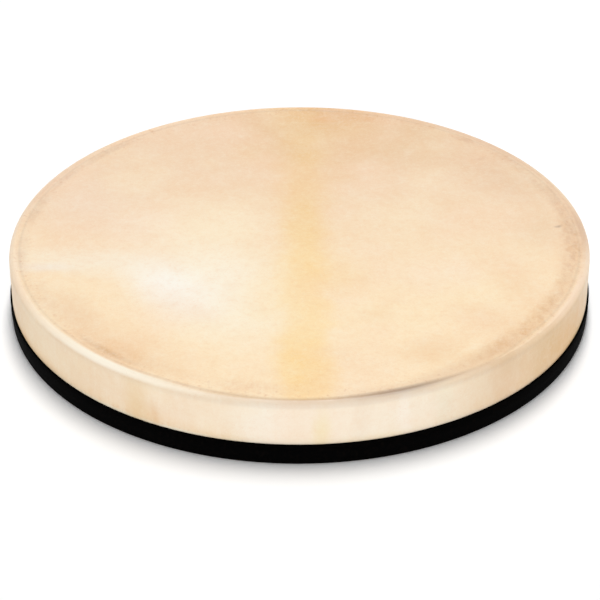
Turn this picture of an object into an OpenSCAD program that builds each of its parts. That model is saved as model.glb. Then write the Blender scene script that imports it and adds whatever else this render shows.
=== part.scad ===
// Ocean drum: a shallow two-headed frame drum with loose steel shot sealed inside.
// The upper head is goatskin, the lower one clear film, and a bent hoop of three plies carries both.
// Lengths in millimetres, +Z up. The origin is the centre of the film's underside, where the drum rests.

/* [Drum] */
// Outside diameter over the trim band
drum_d = 500; // [420:1:560]
// Height from the film's underside to the crest of the top edge
drum_h = 57; // [50:0.5:75]

/* [Hoop] */
// Thickness of each of the three bent plies
ply_t = 2.6; // [2.3:0.1:3]
// Glue line between two glued faces
glue_t = 0.05; // [0.03:0.01:0.1]
// Length of each scarf joint round the hoop
scarf_l = 24; // [18:1:28]
// Open glue line of a scarf joint
scarf_gap = 0.15; // [0.1:0.05:0.3]
// Drop of the bevel inside the upper bearing edge
upper_bevel_h = 3.4; // [2:0.1:5]
// Drop of the bevel inside the lower bearing edge
lower_bevel_h = 2.2; // [1:0.1:3]

/* [Goatskin head] */
// Thickness of the goatskin
skin_t = 0.8; // [0.6:0.05:1]
// Radius of the top edge over the skin
lip_r = 4; // [4:0.1:5.4]
// Depth of the playing area below the crest of the edge
dish_h = 0.4; // [0.2:0.05:0.8]
// Width of the crease from the crest to the playing area
crease_w = 2.4; // [1.5:0.1:4]
// Height of the goatskin's hem above the rest plane
skin_hem_z = 9.4; // [9:0.1:10]

/* [Film head] */
// Thickness of the clear film
film_t = 0.3; // [0.2:0.05:0.35]
// Radius of the bottom edge over the film
foot_r = 1.5; // [1:0.1:2]
// Height of the film's skirt above the rest plane
film_hem_z = 8.4; // [6:0.1:8.8]

/* [Trim band] */
// Thickness of the black band over the skin
band_t = 1.7; // [1:0.1:3]
// Radius of the band's two outer edges
band_edge_r = 0.4; // [0.2:0.1:0.7]
// Height of the band's lower edge above the rest plane
band_low_z = 0.3; // [0.3:0.1:1.5]
// Height of the band's upper edge above the rest plane
band_top_z = 18; // [17:0.5:24]
// Open gap where the band's two ends meet, at the back
band_gap = 0.4; // [0.2:0.1:1]

/* [Skin tacks] */
// Number of tacks round the hoop
tack_count = 36; // [12:1:48]
// Height of the tacks above the rest plane
tack_z = 13.7; // [13.2:0.1:14.2]
// Diameter of a tack's head
tack_head_d = 5; // [3.5:0.1:6]
// Thickness of a tack's head
tack_head_t = 0.4; // [0.3:0.05:0.5]
// Diameter of a tack's shank
tack_shank_d = 1.3; // [1:0.1:1.6]
// Length of a tack under its head
tack_l = 5.2; // [4.4:0.1:5.2]
// Length of a tack's point
tack_point_l = 1.6; // [1:0.1:2.5]
// Clearance round a tack in its hole and its recess
tack_fit = 0.03; // [0.02:0.01:0.05]
// Depth of a tack's head below the face of the skin
tack_sink = 0.05; // [0.03:0.01:0.08]

/* [Shot] */
// Diameter of a steel bead
bead_d = 5; // [4:0.5:6]
// Gap between the beads and what they roll on or against
bead_gap = 0.4; // [0.35:0.05:0.6]
// Number of beads that roll in the longest lane
lane_bead_count = 6; // [4:1:6]
// Most slack between neighbours when the beads have rolled together
pile_slack = 11; // [6:1:14]
// Number of bead groups that roll by different lengths
wave_count = 12; // [12:1:12]
// Seed of the scatter
scatter_seed = 11; // [1:1:99]

/* [Hidden] */
$fn = 180;
bead_fn = 20;
cut_over = 1;

// Radii, from the band inwards
band_r = drum_d / 2;
skin_r = band_r - band_t - glue_t;
hoop_r = skin_r - skin_t - glue_t;
film_r = hoop_r + glue_t + film_t;
band_foot_r = film_r + glue_t + band_t;
core_r = hoop_r - ply_t - glue_t;
inner_r = core_r - ply_t - glue_t;
cavity_r = inner_r - ply_t;
crest_r = skin_r - lip_r;

// Heights of the bare hoop
hoop_low_z = film_t + glue_t;
hoop_top_z = drum_h - skin_t - glue_t;
edge_steps = 8;
crease_steps = 6;

// Bearings round the drum: each scarf joint is centred between two tacks, the band's joint is at the back
tack_step_a = 360 / tack_count;
first_scarf_share = 0.06;
scarf_stagger_share = 1 / 3;
inner_scarf_step = round(tack_count * first_scarf_share);
core_scarf_step = inner_scarf_step + round(tack_count * scarf_stagger_share);
outer_scarf_step = core_scarf_step + round(tack_count * scarf_stagger_share);
band_joint_a = 90;

// Tacks: radial places of a head's outer face and its back
tack_face_x = skin_r - tack_sink;
tack_back_x = tack_face_x - tack_head_t;
tack_tip_x = tack_back_x - tack_l;

// Shot: lanes run along X, side by side in Y, and the lead bead keeps the middle lane to itself
bead_z = film_t + bead_gap + bead_d / 2;
track_r = cavity_r - bead_gap - bead_d / 2;
lane_pitch = bead_d + bead_gap;
lane_reach_share = 0.9;
lane_count = floor(lane_reach_share * track_r / lane_pitch);
travel_share = 0.76;
wave_step = 2 * track_r * travel_share / wave_count;
place_low_share = 0.1;
place_high_share = 0.85;
first_slack_share = 0.5;

// How far the shot falls from the film to the skin when the drum is turned over
fall_l = drum_h - dish_h - skin_t - bead_gap - bead_d / 2 - bead_z;
echo(fall_l = fall_l, wave_step = wave_step, track_r = track_r, cavity_r = cavity_r);

function arc(centre, r, from, to, steps) =
    [for (i = [0 : steps]) let (a = from + (to - from) * i / steps) centre + r * [cos(a), sin(a)]];

function reversed(points) = [for (i = [len(points) - 1 : -1 : 0]) points[i]];

function sum_to(values, last) = last < 0 ? 0 : values[last] + sum_to(values, last - 1);

// Half section of the goatskin's surface, a depth below its outer face, from the axis to the hem
function skin_path(depth) = concat(
    [[0, drum_h - dish_h - depth]],
    [for (i = [0 : crease_steps - 1]) let (s = i / crease_steps)
        [crest_r - crease_w * (1 - s), drum_h - depth - dish_h * (1 + cos(180 * s)) / 2]],
    arc([crest_r, drum_h - lip_r], lip_r - depth, 90, 0, edge_steps),
    [[skin_r - depth, skin_hem_z]]);

// Half section of the film's surface, a depth above its outer face, from the axis to the hem
function film_path(depth) = concat(
    [[0, depth]],
    arc([film_r - foot_r, foot_r], foot_r - depth, -90, 0, edge_steps),
    [[film_r - depth, film_hem_z]]);

// Half section of the bare hoop: rounded outside, bevelled inside, with a narrow crest under each head
hoop_path = concat(
    [[cavity_r, hoop_low_z + lower_bevel_h]],
    [[crest_r, hoop_low_z]],
    arc([film_r - foot_r, foot_r], hoop_r - film_r + foot_r, -90, 0, edge_steps),
    arc([crest_r, drum_h - lip_r], hoop_r - crest_r, 0, 90, edge_steps),
    [[cavity_r, hoop_top_z - upper_bevel_h]]);

// Half section of the band, as thick all the way: down the skin, in over the two hems, down the film
band_path = concat(
    [[skin_r + glue_t, band_top_z]],
    arc([band_r - band_edge_r, band_top_z - band_edge_r], band_edge_r, 90, 0, edge_steps / 2),
    [[band_r, skin_hem_z], [band_foot_r, film_hem_z]],
    arc([band_foot_r - band_edge_r, band_low_z + band_edge_r], band_edge_r, 0, -90, edge_steps / 2),
    [[film_r + glue_t, band_low_z], [film_r + glue_t, film_hem_z], [skin_r + glue_t, skin_hem_z]]);

// Beads of one lane, from the wall inwards: where each lies once rolled, scattered, and its group
function lane_half(lane) = sqrt(pow(track_r, 2) - pow(lane * lane_pitch, 2));
function lane_beads(lane) = max(1, round(lane_bead_count * lane_half(lane) / track_r));
function lane_seed(lane, turn) = scatter_seed + 2 * (lane + lane_count) + turn;
function rolled_xs(lane) =
    let (n = lane_beads(lane),
         slack = rands(0, 1, n, lane_seed(lane, 0)),
         steps = [for (i = [0 : n - 1]) i == 0
             ? slack[i] * pile_slack * first_slack_share
             : lane_pitch + slack[i] * pile_slack])
    [for (i = [0 : n - 1]) lane_half(lane) - sum_to(steps, i)];
function scattered_xs(lane) =
    let (n = lane_beads(lane),
         place_shares = rands(place_low_share, place_high_share, n, lane_seed(lane, 1)))
    [for (i = [0 : n - 1]) lane_half(lane) * (1 - 2 * (i + place_shares[i]) / n)];
function lane_groups(lane) =
    let (from = scattered_xs(lane),
         to = rolled_xs(lane),
         reach = [for (i = [0 : len(to) - 1]) floor((to[i] - from[i]) / wave_step)])
    [for (i = [0 : len(to) - 1]) min(wave_count, max(0, max([for (k = [0 : i]) reach[k]])))];

LANES = [for (lane = [-lane_count : lane_count]) if (lane != 0) lane];

// Places of one group's beads at rest: the rolled place, taken back by the group's own travel
function group_places(group) =
    [for (lane = LANES)
        let (to = rolled_xs(lane), groups = lane_groups(lane))
        for (i = [0 : len(to) - 1])
            if (groups[i] == group) [to[i] - group * wave_step, lane * lane_pitch, bead_z]];

echo(beads = [for (group = [0 : wave_count]) len(group_places(group))]);

module ring_between(r_low, r_high) {
    rotate_extrude()
        intersection() {
            polygon(hoop_path);
            translate([r_low, 0]) square([r_high - r_low, drum_h]);
        }
}

// Slanted saw cut through a ply, from its inner face to its outer face, centred on a bearing
module scarf_cut(r_low, r_high, bearing) {
    half_turn = scarf_l / r_high * 90 / PI;
    start = r_low * [cos(bearing - half_turn), sin(bearing - half_turn)];
    end = r_high * [cos(bearing + half_turn), sin(bearing + half_turn)];
    way = end - start;
    translate([start.x, start.y, -cut_over])
        rotate(atan2(way.y, way.x))
            translate([-cut_over, -scarf_gap / 2, 0])
                cube([norm(way) + 2 * cut_over, scarf_gap, drum_h + 2 * cut_over]);
}

// Places its child on each tack's axis, with the child's +X pointing out of the drum
module at_tacks() {
    for (i = [0 : tack_count - 1])
        rotate((i + 1 / 2) * tack_step_a) translate([0, 0, tack_z]) children();
}

// Round hole for the tacks' shanks, open outwards
module tack_holes() {
    at_tacks()
        translate([tack_tip_x - tack_fit, 0, 0]) rotate([0, 90, 0])
            cylinder(r = tack_shank_d / 2 + tack_fit, h = skin_r - tack_tip_x);
}

module inner_ply() {
    color("burlywood") difference() {
        ring_between(cavity_r, inner_r);
        scarf_cut(cavity_r, inner_r, inner_scarf_step * tack_step_a);
    }
}

module core_ply() {
    color("tan") difference() {
        ring_between(inner_r + glue_t, core_r);
        scarf_cut(inner_r + glue_t, core_r, core_scarf_step * tack_step_a);
        tack_holes();
    }
}

module outer_ply() {
    color("wheat") difference() {
        ring_between(core_r + glue_t, hoop_r);
        scarf_cut(core_r + glue_t, hoop_r, outer_scarf_step * tack_step_a);
        tack_holes();
    }
}

module goatskin_head() {
    color("bisque") difference() {
        rotate_extrude() polygon(concat(skin_path(0), reversed(skin_path(skin_t))));
        tack_holes();
        at_tacks()
            translate([tack_back_x - tack_fit, 0, 0]) rotate([0, 90, 0])
                cylinder(r = tack_head_d / 2 + tack_fit, h = skin_t);
    }
}

module film_head() {
    color("lightblue", 0.4)
        rotate_extrude() polygon(concat(film_path(0), reversed(film_path(film_t))));
}

module trim_band() {
    color("black") difference() {
        rotate_extrude() polygon(band_path);
        rotate(band_joint_a)
            translate([film_r, -band_gap / 2, 0]) cube([band_r - film_r + cut_over, band_gap, drum_h]);
    }
}

module tack() {
    rotate_extrude($fn = bead_fn) polygon([
        [0, 0],
        [tack_head_d / 2, 0],
        [tack_head_d / 2, tack_head_t],
        [tack_shank_d / 2, tack_head_t],
        [tack_shank_d / 2, tack_head_t + tack_l - tack_point_l],
        [0, tack_head_t + tack_l]]);
}

module skin_tacks() {
    color("dimgray") at_tacks() translate([tack_face_x, 0, 0]) rotate([0, -90, 0]) tack();
}

module bead() {
    sphere(d = bead_d, $fn = bead_fn);
}

module lead_bead() {
    color("silver") translate([0, 0, bead_z]) bead();
}

// One group of beads, which roll by the same length; group 0 lies against the wall
module bead_group(group) {
    color("silver") for (place = group_places(group)) translate(place) bead();
}

inner_ply();
core_ply();
outer_ply();
goatskin_head();
film_head();
trim_band();
skin_tacks();
lead_bead();
bead_group(0);  // rim_beads
bead_group(1);  // beads_01
bead_group(2);  // beads_02
bead_group(3);  // beads_03
bead_group(4);  // beads_04
bead_group(5);  // beads_05
bead_group(6);  // beads_06
bead_group(7);  // beads_07
bead_group(8);  // beads_08
bead_group(9);  // beads_09
bead_group(10);  // beads_10
bead_group(11);  // beads_11
bead_group(12);  // beads_12
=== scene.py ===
"""Ocean drum: goatskin over a bent hoop, clear film beneath, and loose steel shot sealed between the heads.

Lengths are in metres in the drum's own frame: +Z up through the goatskin, -Y towards the viewer, and the
origin at the centre of the lower head's underside, which rests on the table. Bearings are in degrees round
the drum, seen from above: 0 is at the front, nearest the viewer, and they grow towards +X.
"""
import logging
import math
from collections.abc import Sequence
from dataclasses import dataclass
from enum import Enum

import bmesh
import bpy
from mathutils import Matrix, Vector


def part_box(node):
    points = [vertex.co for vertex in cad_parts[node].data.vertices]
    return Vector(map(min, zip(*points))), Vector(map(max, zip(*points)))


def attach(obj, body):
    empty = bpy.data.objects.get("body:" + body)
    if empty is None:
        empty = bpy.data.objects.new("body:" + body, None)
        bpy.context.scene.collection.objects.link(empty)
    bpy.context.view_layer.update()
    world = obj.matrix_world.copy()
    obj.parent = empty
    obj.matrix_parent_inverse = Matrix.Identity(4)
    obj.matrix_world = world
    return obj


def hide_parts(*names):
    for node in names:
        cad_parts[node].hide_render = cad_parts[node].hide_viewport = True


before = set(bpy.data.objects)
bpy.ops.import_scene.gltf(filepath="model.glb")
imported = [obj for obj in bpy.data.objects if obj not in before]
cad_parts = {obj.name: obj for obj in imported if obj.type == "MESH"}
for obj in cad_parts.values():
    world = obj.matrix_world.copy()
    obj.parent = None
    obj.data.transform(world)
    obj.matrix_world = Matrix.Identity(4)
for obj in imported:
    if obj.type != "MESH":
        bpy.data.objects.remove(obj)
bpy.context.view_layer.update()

LOG = logging.getLogger("ocean_drum")

Colour = tuple[float, float, float]
Screen = tuple[int, int, int]
Point = tuple[float, float, float]
Flat = tuple[float, float]
Fade = tuple[float, float, float, float]
Section = list[Flat]
Mesh = bpy.types.Mesh
Object = bpy.types.Object
Material = bpy.types.Material
Node = bpy.types.Node
Socket = bpy.types.NodeSocket
Value = Socket | bpy.types.ID | float | Sequence[float] | str

MM = 0.001
SOCKET_KINDS = {float: "NodeSocketFloat", int: "NodeSocketInt", Material: "NodeSocketMaterial"}


class Slot(Enum):
    """The record's material slots."""

    HOOP_WOOD = "hoop_wood"
    GOATSKIN = "goatskin"
    CLEAR_FILM = "clear_film"
    TRIM = "trim"
    TACK_STEEL = "tack_steel"
    SHOT_STEEL = "shot_steel"


def hide(*screen: int) -> Colour:
    """Turns a colour as a screen shows it, from 0 to 255, into the share of light that it gives back."""
    shares = (channel / 255 for channel in screen)
    return tuple(s / 12.92 if s <= 0.04045 else ((s + 0.055) / 1.055) ** 2.4 for s in shares)


@dataclass(frozen=True)
class Round:
    """A round part as the frame holds it: its radius, its lowest height and its top."""

    radius: float
    low: float
    top: float

    @classmethod
    def of(cls, node: str) -> "Round":
        """Measures a node about the drum's axis, by the least of its reaches to the four sides."""
        low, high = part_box(node)
        return cls(min(high.x, high.y, -low.x, -low.y), low.z, high.z)


SKIN = Round.of("goatskin_head")
FILM = Round.of("film_head")
BAND = Round.of("trim_band")
LIP_R = 4.0 * MM
CREST_R = SKIN.radius - LIP_R
GLUE = 0.05 * MM


def at_bearing(bearing: float, radius: float, height: float) -> Point:
    """Gives a place on the drum from its bearing, its distance from the axis and its height."""
    turn = math.radians(bearing)
    return (radius * math.sin(turn), -radius * math.cos(turn), height)


def spread(start: float, end: float, steps: int) -> list[float]:
    """Gives evenly spaced values, the first and the last among them."""
    return [start + (end - start) * i / steps for i in range(steps + 1)]


def arc(centre: Flat, radius: float, start: float, end: float, steps: int) -> Section:
    """Gives a round stretch of a half section; its angles are in degrees, 0 outwards and 90 up."""
    angles = [math.radians(a) for a in spread(start, end, steps)]
    return [(centre[0] + radius * math.cos(a), centre[1] + radius * math.sin(a)) for a in angles]


class Net:
    """Grows a node tree from short calls, for a material or for Geometry Nodes."""

    def __init__(self, tree: bpy.types.NodeTree) -> None:
        """Takes a tree and empties it."""
        self.tree = tree
        tree.nodes.clear()

    def put(self, target: Socket, value: Value) -> None:
        """Links a socket to another, or sets a constant on it.

        Args:
            target: The input that gets the value.
            value: An output to link, or the constant itself.
        """
        if isinstance(value, Socket):
            self.tree.links.new(value, target)
        elif target.type == "RGBA" and len(value) == 3:
            target.default_value = (*value, 1.0)
        else:
            target.default_value = value

    def add(self, kind: str, inputs: dict[str | int, Value] | None = None, **settings: object) -> Node:
        """Adds one node.

        Args:
            kind: The node's type.
            inputs: What goes into its sockets, by name or number.
            settings: The node's own choices.

        Returns:
            The new node.
        """
        node = self.tree.nodes.new(kind)
        for name, value in settings.items():
            setattr(node, name, value)
        for key, value in (inputs or {}).items():
            self.put(node.inputs[key], value)
        return node

    def out(self, kind: str, inputs: dict[str | int, Value] | None = None, **settings: object) -> Socket:
        """Adds one node and gives its first output."""
        return self.add(kind, inputs, **settings).outputs[0]

    def math(self, operation: str, *values: Value, clamp: bool = False) -> Socket:
        """Works out one sum from up to three values, and keeps it between 0 and 1 where it is clamped."""
        inputs = dict(enumerate(values))
        return self.out("ShaderNodeMath", inputs, operation=operation, use_clamp=clamp)

    def plus(self, first: Value, second: Value) -> Socket:
        """Adds two values."""
        return self.math("ADD", first, second)

    def minus(self, first: Value, second: Value) -> Socket:
        """Takes the second value from the first."""
        return self.math("SUBTRACT", first, second)

    def times(self, first: Value, second: Value) -> Socket:
        """Multiplies two values."""
        return self.math("MULTIPLY", first, second)

    def vector(self, operation: str, *values: Value) -> Node:
        """Works on one or two vectors; the node's outputs are Vector and Value."""
        return self.add("ShaderNodeVectorMath", dict(enumerate(values)), operation=operation)

    def scaled(self, place: Value, *shares: float) -> Socket:
        """Draws coordinates out or together by a share along each axis."""
        return self.vector("MULTIPLY", place, shares).outputs[0]

    def flat(self, place: Value) -> Socket:
        """Lays coordinates down on the drum's ground plane."""
        return self.scaled(place, 1.0, 1.0, 0.0)

    def length(self, way: Value) -> Socket:
        """Gives a vector's length."""
        return self.vector("LENGTH", way).outputs["Value"]

    def joined(self, **parts: Value) -> Socket:
        """Joins X, Y and Z into one vector."""
        return self.out("ShaderNodeCombineXYZ", parts)

    def parts(self, place: Value) -> bpy.types.bpy_prop_collection:
        """Splits a vector into its X, Y and Z."""
        return self.add("ShaderNodeSeparateXYZ", {0: place}).outputs

    def radius(self, place: Value) -> Socket:
        """Gives the distance from the drum's axis."""
        return self.length(self.flat(place))

    def ramp(self, value: Value, low: float, high: float, first: float = 0.0, last: float = 1.0) -> Socket:
        """Goes smoothly from a first level to a last one while the value goes from low to high."""
        inputs = {"Value": value, "From Min": low, "From Max": high, "To Min": first, "To Max": last}
        return self.out("ShaderNodeMapRange", inputs, interpolation_type="SMOOTHSTEP")

    def ridge(self, value: Value, centre: float, width: float) -> Socket:
        """Gives 1 where the value is at the centre and falls smoothly to 0 within a width on both sides."""
        return self.ramp(self.math("ABSOLUTE", self.minus(value, centre)), 0.0, width, 1.0, 0.0)

    def mix(self, share: Value, first: Value, second: Value) -> Socket:
        """Lays a share of the second colour over the first."""
        return self.add("ShaderNodeMix", {0: share, 6: first, 7: second}, data_type="RGBA").outputs[2]

    def wash(self, first: Value, second: Value, value: Value, *fade: float) -> Socket:
        """Lays the second colour over the first as a value rises or falls, by the ramp's four numbers."""
        return self.mix(self.ramp(value, *fade), first, second)

    def noise(self, place: Value, size: float, detail: float = 2.0, rough: float = 0.5,
              output: str = "Fac") -> Socket:
        """Gives clouds of a size, with a number of finer layers and the strength of those."""
        inputs = {"Vector": place, "Scale": 1 / size, "Detail": detail, "Roughness": rough}
        return self.add("ShaderNodeTexNoise", inputs).outputs[output]

    def place(self) -> Socket:
        """Gives the place on the piece, in the drum's frame."""
        return self.add("ShaderNodeTexCoord").outputs["Object"]

    def seen(self) -> Socket:
        """Gives 1 where the camera sees a thing itself, or in a reflection or through something clear."""
        rays = self.add("ShaderNodeLightPath").outputs
        return self.math("ADD", self.plus(rays["Is Camera Ray"], rays["Is Glossy Ray"]),
                         rays["Is Transmission Ray"], clamp=True)

    def surface(self, **levels: Value) -> Socket:
        """Adds a surface's shader; the levels are named as its sockets, with underscores for spaces."""
        inputs = {name.replace("_", " "): value for name, value in levels.items()}
        return self.out("ShaderNodeBsdfPrincipled", inputs)

    def bump(self, height: Value, rise: float) -> Socket:
        """Turns a pattern from 0 to 1 into relief of a given rise."""
        return self.out("ShaderNodeBump", {"Strength": 1.0, "Distance": rise, "Height": height})


@dataclass(frozen=True)
class Finish:
    """What every finish has: a name, a way to paint itself and, on the drum, a slot in the record."""

    name: str
    slot: Slot | None = None

    def material(self) -> Material:
        """Makes the material.

        Returns:
            The painted material.
        """
        made = bpy.data.materials.new(self.name)
        made.use_nodes = True
        net = Net(made.node_tree)
        net.add("ShaderNodeOutputMaterial", {"Surface": self.paint(net)})
        return made

    def paint(self, net: Net) -> Socket:
        """Adds the nodes and gives the shader's socket; each finish has its own."""
        raise NotImplementedError


@dataclass(frozen=True)
class Mark:
    """One soft-edged marking: a stain, a pale patch or a streak in the hide, and also painted highlights and
    painted shade.

    Its centre, half length and half width are those on its stretch of the hide, laid out flat.
    """

    at: Flat
    reach: Flat
    turn: float
    colour: Colour
    strength: float

    @classmethod
    def on_head(cls, at: Flat, reach: Flat, turn: float, screen: Screen, strength: float) -> "Mark":
        """Places a marking on the playing surface, its length turned from +X by some degrees."""
        return cls(at, reach, turn, hide(*screen), strength)

    @classmethod
    def on_rim(cls, bearing: float, inset: float, reach: Flat, screen: Screen, strength: float) -> "Mark":
        """Places a marking along the rim, some way inside the edge's crest."""
        at = (math.radians(bearing) * SKIN.radius, CREST_R - inset)
        return cls(at, reach, 0.0, hide(*screen), strength)

    @classmethod
    def on_side(cls, bearing: float, height: float, reach: Flat, screen: Screen, strength: float) -> "Mark":
        """Places a marking on the hide's skirt, at a height above the table."""
        at = (math.radians(bearing) * SKIN.radius, height)
        return cls(at, reach, 0.0, hide(*screen), strength)

    def level(self, net: Net, sheet: Value) -> Socket:
        """Gives how strongly the marking shows.

        Args:
            net: The material's tree.
            sheet: The coordinates of its stretch of the hide, laid out flat.

        Returns:
            The level's socket, from 0 to the marking's strength.
        """
        local = net.out("ShaderNodeMapping", {
            "Vector": sheet,
            "Location": (*self.at, 0.0),
            "Rotation": (0.0, 0.0, math.radians(self.turn)),
            "Scale": (*self.reach, 1.0)}, vector_type="TEXTURE")
        ball = net.add("ShaderNodeTexGradient", {"Vector": local}, gradient_type="SPHERICAL").outputs[1]
        return net.ramp(ball, 0.0, 1.0, 0.0, self.strength)


# Centre, reach, turn, colour and strength
HEAD_MARKS_AND_HIGHLIGHT = tuple(Mark.on_head(*row) for row in (
    ((0.008, -0.060), (0.046, 0.075), 0, (252, 216, 152), 0.30),
    ((0.004, -0.190), (0.036, 0.080), 0, (252, 214, 146), 0.40),
    ((0.006, 0.238), (0.150, 0.050), 0, (228, 178, 122), 0.55),
    ((-0.022, 0.178), (0.052, 0.080), 0, (232, 192, 142), 0.50),
    ((-0.046, 0.150), (0.026, 0.030), 0, (236, 200, 150), 0.40),
    ((0.050, 0.178), (0.060, 0.062), 0, (232, 188, 134), 0.50),
    ((0.046, 0.142), (0.052, 0.022), 42, (230, 184, 128), 0.45),
    ((0.040, 0.108), (0.026, 0.020), 0, (234, 194, 142), 0.45),
    ((0.022, 0.220), (0.020, 0.012), 0, (232, 164, 98), 0.45),
    ((0.062, 0.222), (0.034, 0.010), -12, (228, 164, 102), 0.40),
    # These five rows paint the pale patch on the left of the head together with the soft highlight over it,
    # as colour.
    ((-0.078, 0.012), (0.095, 0.085), 0, (255, 240, 210), 0.55),
    ((-0.070, -0.085), (0.125, 0.090), -50, (255, 249, 230), 0.85),
    ((-0.110, -0.078), (0.078, 0.042), -52, (255, 255, 250), 0.66),
    ((-0.176, -0.038), (0.110, 0.036), -6, (252, 242, 222), 0.60),
    ((-0.214, -0.047), (0.040, 0.012), 0, (246, 236, 226), 0.45),
    ((-0.190, 0.060), (0.080, 0.090), 0, (242, 214, 190), 0.50),
    ((-0.140, 0.020), (0.060, 0.060), 0, (251, 228, 206), 0.45),
    ((-0.150, -0.180), (0.110, 0.065), -40, (240, 194, 148), 0.60),
    ((-0.190, -0.110), (0.060, 0.030), -60, (240, 206, 168), 0.45),
    ((0.062, -0.122), (0.022, 0.018), 0, (240, 202, 150), 0.45),
    ((0.040, -0.070), (0.030, 0.040), 0, (246, 210, 152), 0.35),
    ((0.095, -0.110), (0.120, 0.055), 20, (255, 234, 192), 0.45),
    ((0.105, -0.176), (0.046, 0.030), 20, (240, 198, 146), 0.50),
    ((0.190, 0.110), (0.090, 0.060), -50, (230, 194, 158), 0.75),
    ((0.150, -0.132), (0.050, 0.045), -40, (244, 202, 158), 0.45),
    ((0.215, 0.015), (0.050, 0.060), 0, (232, 198, 160), 0.45),
    ((0.096, 0.160), (0.090, 0.060), -15, (230, 194, 150), 0.60),
    ((0.040, 0.226), (0.044, 0.020), -10, (226, 184, 136), 0.45),
    ((0.016, 0.203), (0.090, 0.032), 0, (228, 184, 128), 0.66),
    ((0.112, 0.200), (0.070, 0.036), -28, (226, 188, 142), 0.50),
    ((0.112, -0.062), (0.060, 0.045), 0, (255, 236, 208), 0.40),
    ((0.182, -0.080), (0.030, 0.090), 20, (244, 206, 162), 0.45),
    ((-0.180, -0.128), (0.045, 0.026), -55, (236, 196, 154), 0.45),
    ((-0.022, -0.100), (0.050, 0.075), 0, (252, 216, 152), 0.35),
    ((0.164, 0.140), (0.010, 0.006), 30, (216, 170, 130), 0.35),
    ((0.226, 0.018), (0.005, 0.003), 20, (140, 96, 66), 0.60)))

# Bearing, inset from the crest, reach, colour and strength
RIM_MARKS = tuple(Mark.on_rim(*row) for row in (
    (-26, 3.0 * MM, (0.085, 0.0060), (206, 158, 118), 0.50),
    (-41, 12.0 * MM, (0.055, 0.0060), (192, 136, 76), 0.60),
    (-36, 18.0 * MM, (0.080, 0.0170), (228, 180, 122), 0.50),
    (-10, 15.0 * MM, (0.045, 0.0140), (234, 186, 134), 0.62),
    (48, 11.0 * MM, (0.130, 0.0180), (226, 178, 124), 0.70),
    (62, 12.0 * MM, (0.080, 0.0120), (214, 164, 108), 0.55),
    (82, 10.0 * MM, (0.110, 0.0160), (216, 168, 122), 0.75),
    (95, 9.0 * MM, (0.080, 0.0110), (200, 152, 108), 0.55),
    (112, 9.0 * MM, (0.070, 0.0110), (206, 162, 124), 0.50),
    (126, 8.0 * MM, (0.050, 0.0080), (216, 168, 126), 0.50),
    (139, 9.0 * MM, (0.024, 0.0070), (202, 150, 106), 0.55),
    (172, 4.0 * MM, (0.170, 0.0120), (222, 176, 130), 0.50),
    (-132, 9.0 * MM, (0.050, 0.0060), (196, 146, 104), 0.55),
    (-117, 8.0 * MM, (0.040, 0.0060), (206, 164, 132), 0.50),
    (-103, 8.0 * MM, (0.050, 0.0080), (202, 158, 124), 0.55),
    (-84, 6.0 * MM, (0.060, 0.0090), (222, 190, 162), 0.50),
    (-65, 10.0 * MM, (0.060, 0.0200), (232, 196, 158), 0.55)))
# Painted shade in the crease just inside the lip, darkest at the front right.
CREASE_SHADE_MARKS = tuple(Mark.on_rim(*row) for row in (
    (42, 9.0 * MM, (0.050, 0.0160), (216, 168, 124), 0.38),
    (30, 5.0 * MM, (0.060, 0.0160), (226, 188, 150), 0.45),
    (18, 3.2 * MM, (0.075, 0.0110), (206, 168, 138), 0.32),
    (19, 1.0 * MM, (0.070, 0.0054), (96, 74, 64), 0.60),
    (10, 0.2 * MM, (0.110, 0.0054), (160, 124, 96), 0.34),
    (-2, -0.6 * MM, (0.090, 0.0054), (206, 168, 128), 0.36),
    (-12, 2.0 * MM, (0.045, 0.0055), (196, 154, 116), 0.32),
    (34, 0.6 * MM, (0.050, 0.0046), (190, 152, 120), 0.25)))
# Colours along the lip by bearing: the pale rows at the front left and right are painted highlights, and the
# darker rows further round darken the lip there.
LIP_HIGHLIGHT_AND_TONE_MARKS = tuple(Mark.on_rim(*row) for row in (
    (-39, 0.0, (0.150, 1.0), (255, 244, 224), 1.00),
    (-72, 0.0, (0.110, 1.0), (250, 228, 204), 0.45),
    (67, 0.0, (0.120, 1.0), (252, 226, 202), 0.50),
    (93, 0.0, (0.070, 1.0), (206, 168, 138), 0.60),
    (132, 0.0, (0.210, 1.0), (222, 186, 154), 0.60),
    (-112, 0.0, (0.120, 1.0), (226, 192, 164), 0.45)))
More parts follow.
